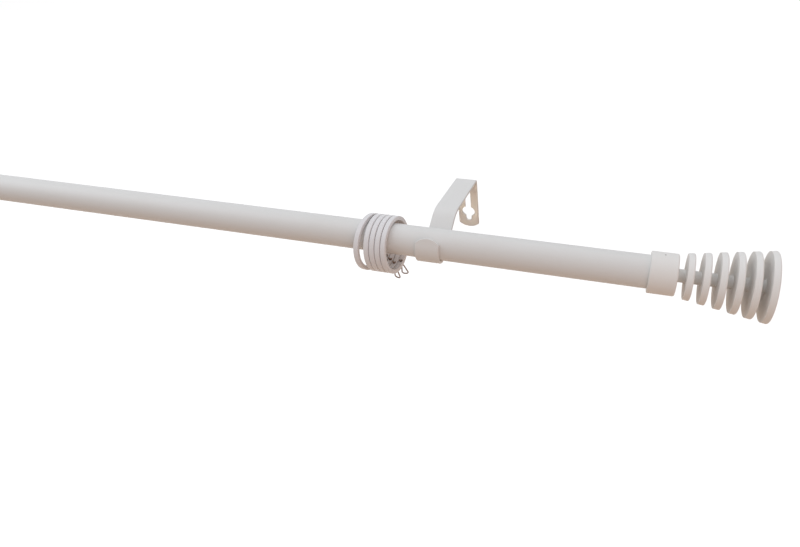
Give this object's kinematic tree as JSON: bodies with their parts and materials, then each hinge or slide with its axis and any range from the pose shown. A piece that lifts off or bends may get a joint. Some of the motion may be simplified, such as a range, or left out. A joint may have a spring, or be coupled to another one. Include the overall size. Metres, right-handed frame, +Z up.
{
  "type": "extendable curtain rod",
  "caption": "White painted telescopic curtain rod with disc-cone finials, folded keyhole wall brackets and eyelet rings.",
  "frame": {"origin": "the wall screw of the right-hand bracket (top of the keyhole slot), at the wall's surface", "axes": "+X along the rod to the right as seen from the room, +Y into the wall, +Z up"},
  "size_m": [0.8889, 0.1045, 0.0821],
  "materials": {
    "tube_enamel": "satin",
    "finial_enamel": "satin",
    "bracket_enamel": "satin",
    "ring_enamel": "satin",
    "eyelet_wire": "dull",
    "guide_plastic": "moulded"
  },
  "bodies": {
    "rod": {"outer_tube": "tube_enamel", "guide_bush": "guide_plastic", "finial_right": "finial_enamel", "bracket_right": "bracket_enamel", "bracket_left": "bracket_enamel"},
    "extension": {"inner_tube": "tube_enamel", "guide_plug": "guide_plastic", "reducer_sleeve": "guide_plastic", "finial_left": "finial_enamel"},
    "ring_1": {"ring_1": "ring_enamel"},
    "eyelet_1": {"eyelet_1": "eyelet_wire"},
    "ring_2": {"ring_2": "ring_enamel"},
    "eyelet_2": {"eyelet_2": "eyelet_wire"},
    "ring_3": {"ring_3": "ring_enamel"},
    "eyelet_3": {"eyelet_3": "eyelet_wire"},
    "ring_4": {"ring_4": "ring_enamel"},
    "eyelet_4": {"eyelet_4": "eyelet_wire"},
    "ring_5": {"ring_5": "ring_enamel"},
    "eyelet_5": {"eyelet_5": "eyelet_wire"}
  },
  "joints": [
    {"name": "extension_slide", "type": "slide", "parent": "rod", "child": "extension", "axis": [-1, 0, 0], "range_m": [-0.075, 0.42]},
    {"name": "ring_1_slide", "type": "slide", "parent": "rod", "child": "ring_1", "axis": [1, 0, 0], "range_m": [-0.092, 0.0134]},
    {"name": "eyelet_1_swivel", "type": "hinge", "parent": "ring_1", "child": "eyelet_1", "pos_m": [-0.02423, -0.085, 0.02267], "axis": [0.1016, 0.0799, -0.9916], "continuous": true},
    {"name": "ring_2_slide", "type": "slide", "parent": "ring_1", "child": "ring_2", "axis": [1, 0, 0], "range_m": [-0.092, 0]},
    {"name": "eyelet_2_swivel", "type": "hinge", "parent": "ring_2", "child": "eyelet_2", "pos_m": [-0.0278, -0.085, 0.02267], "axis": [0.0902, -0.0766, -0.993], "continuous": true},
    {"name": "ring_3_slide", "type": "slide", "parent": "ring_2", "child": "ring_3", "axis": [1, 0, 0], "range_m": [-0.092, 0]},
    {"name": "eyelet_3_swivel", "type": "hinge", "parent": "ring_3", "child": "eyelet_3", "pos_m": [-0.03138, -0.085, 0.02267], "axis": [0.1016, 0.0799, -0.9916], "continuous": true},
    {"name": "ring_4_slide", "type": "slide", "parent": "ring_3", "child": "ring_4", "axis": [1, 0, 0], "range_m": [-0.092, 0]},
    {"name": "eyelet_4_swivel", "type": "hinge", "parent": "ring_4", "child": "eyelet_4", "pos_m": [-0.03495, -0.085, 0.02267], "axis": [0.1105, 0.2345, -0.9658], "continuous": true},
    {"name": "ring_5_slide", "type": "slide", "parent": "ring_4", "child": "ring_5", "axis": [1, 0, 0], "range_m": [-0.092, 0]},
    {"name": "eyelet_5_swivel", "type": "hinge", "parent": "ring_5", "child": "eyelet_5", "pos_m": [-0.04019, -0.085, 0.02267], "axis": [0.1086, 0.0702, -0.9916], "continuous": true}
  ]
}
